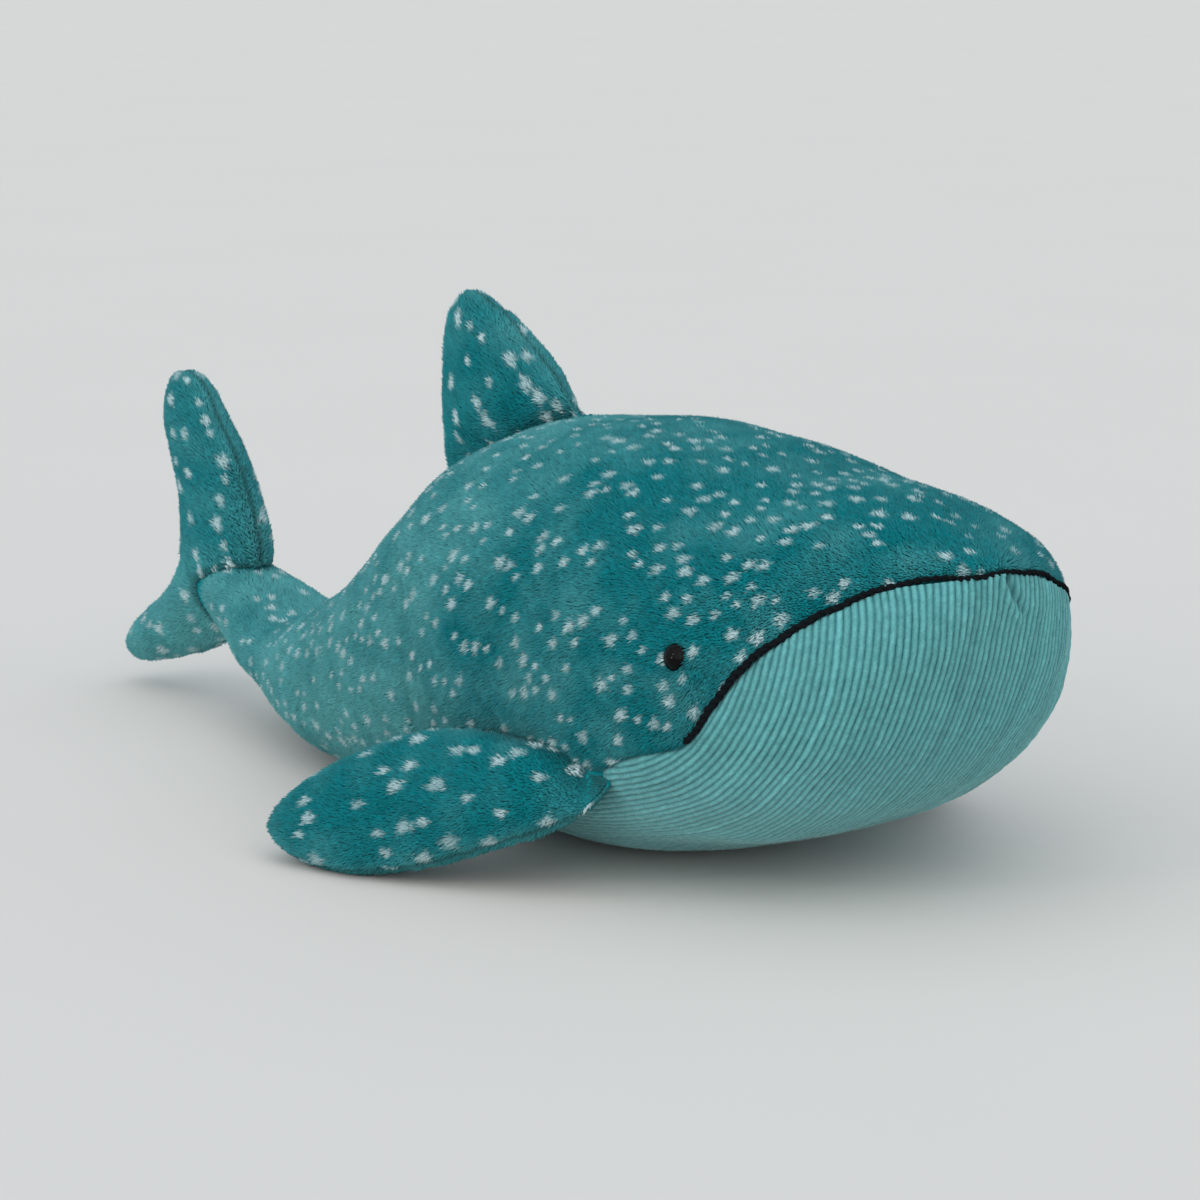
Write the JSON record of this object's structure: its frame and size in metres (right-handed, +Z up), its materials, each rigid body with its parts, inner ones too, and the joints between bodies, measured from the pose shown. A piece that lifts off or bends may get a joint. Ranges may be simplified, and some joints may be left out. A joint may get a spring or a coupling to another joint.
{
  "type": "plush whale shark",
  "caption": "Stuffed whale shark lying on its belly, with speckled plush back, corduroy belly, sewn mouth, bead eyes and soft swinging fins.",
  "frame": {"origin": "on the surface that the toy lies on, under the middle of its overall box", "axes": "+X towards the head, +Y to the toy's own left, +Z up"},
  "size_m": [0.5322, 0.2764, 0.1869],
  "materials": {
    "plush": "short teal plush pile with pale woven spots",
    "fin_plush": "the same plush, with larger and fewer spots",
    "corduroy": "pale teal corduroy, ten ribs to 25 mm",
    "filling": "white polyester fibre",
    "pouch": "plain woven pouch of plastic beans",
    "yarn": "black twisted embroidery yarn",
    "bead": "glossy black safety eye",
    "washer": "plain white lock washer"
  },
  "bodies": {
    "torso": {"back_plush_left": "plush", "back_plush_right": "plush", "belly_cord": "corduroy", "torso_filling": "filling", "bean_pouch": "pouch", "mouth_yarn": "yarn", "eye_left": "bead", "eye_right": "bead", "eye_washer_left": "washer", "eye_washer_right": "washer"},
    "tail": {"tail_plush_left": "plush", "tail_plush_right": "plush", "tail_filling": "filling"},
    "tail_fin": {"tail_fin_plush_left": "fin_plush", "tail_fin_plush_right": "fin_plush", "tail_fin_filling": "filling"},
    "dorsal_fin": {"dorsal_fin_plush_left": "fin_plush", "dorsal_fin_plush_right": "fin_plush", "dorsal_fin_filling": "filling"},
    "right_flipper": {"right_flipper_outer_plush": "fin_plush", "right_flipper_inner_plush": "fin_plush", "right_flipper_filling": "filling"},
    "left_flipper": {"left_flipper_outer_plush": "fin_plush", "left_flipper_inner_plush": "fin_plush", "left_flipper_filling": "filling"}
  },
  "joints": [
    {"name": "tail_sway", "type": "hinge", "parent": "torso", "child": "tail", "pos_m": [-0.09721, 0, 0.04], "axis": [0, 0, 1], "range_deg": [-25, 25], "stiffness_Nm_per_rad": 0.5},
    {"name": "tail_fin_fold", "type": "hinge", "parent": "tail", "child": "tail_fin", "pos_m": [-0.18121, 0, 0.045], "axis": [0, 0, 1], "range_deg": [-30, 30], "stiffness_Nm_per_rad": 0.2},
    {"name": "dorsal_fin_flop", "type": "hinge", "parent": "torso", "child": "dorsal_fin", "pos_m": [-0.001, 0, 0.12368], "axis": [0.8562, 0, 0.5166], "range_deg": [-35, 35], "stiffness_Nm_per_rad": 0.1},
    {"name": "right_flipper_swing", "type": "hinge", "parent": "torso", "child": "right_flipper", "pos_m": [0.15629, -0.083, 0.0405], "axis": [-0.3857, 0.4709, 0.7934], "range_deg": [0, 65], "stiffness_Nm_per_rad": 0.15},
    {"name": "left_flipper_swing", "type": "hinge", "parent": "torso", "child": "left_flipper", "pos_m": [0.15629, 0.083, 0.0405], "axis": [0.3857, 0.4709, -0.7934], "range_deg": [0, 65], "stiffness_Nm_per_rad": 0.15}
  ]
}
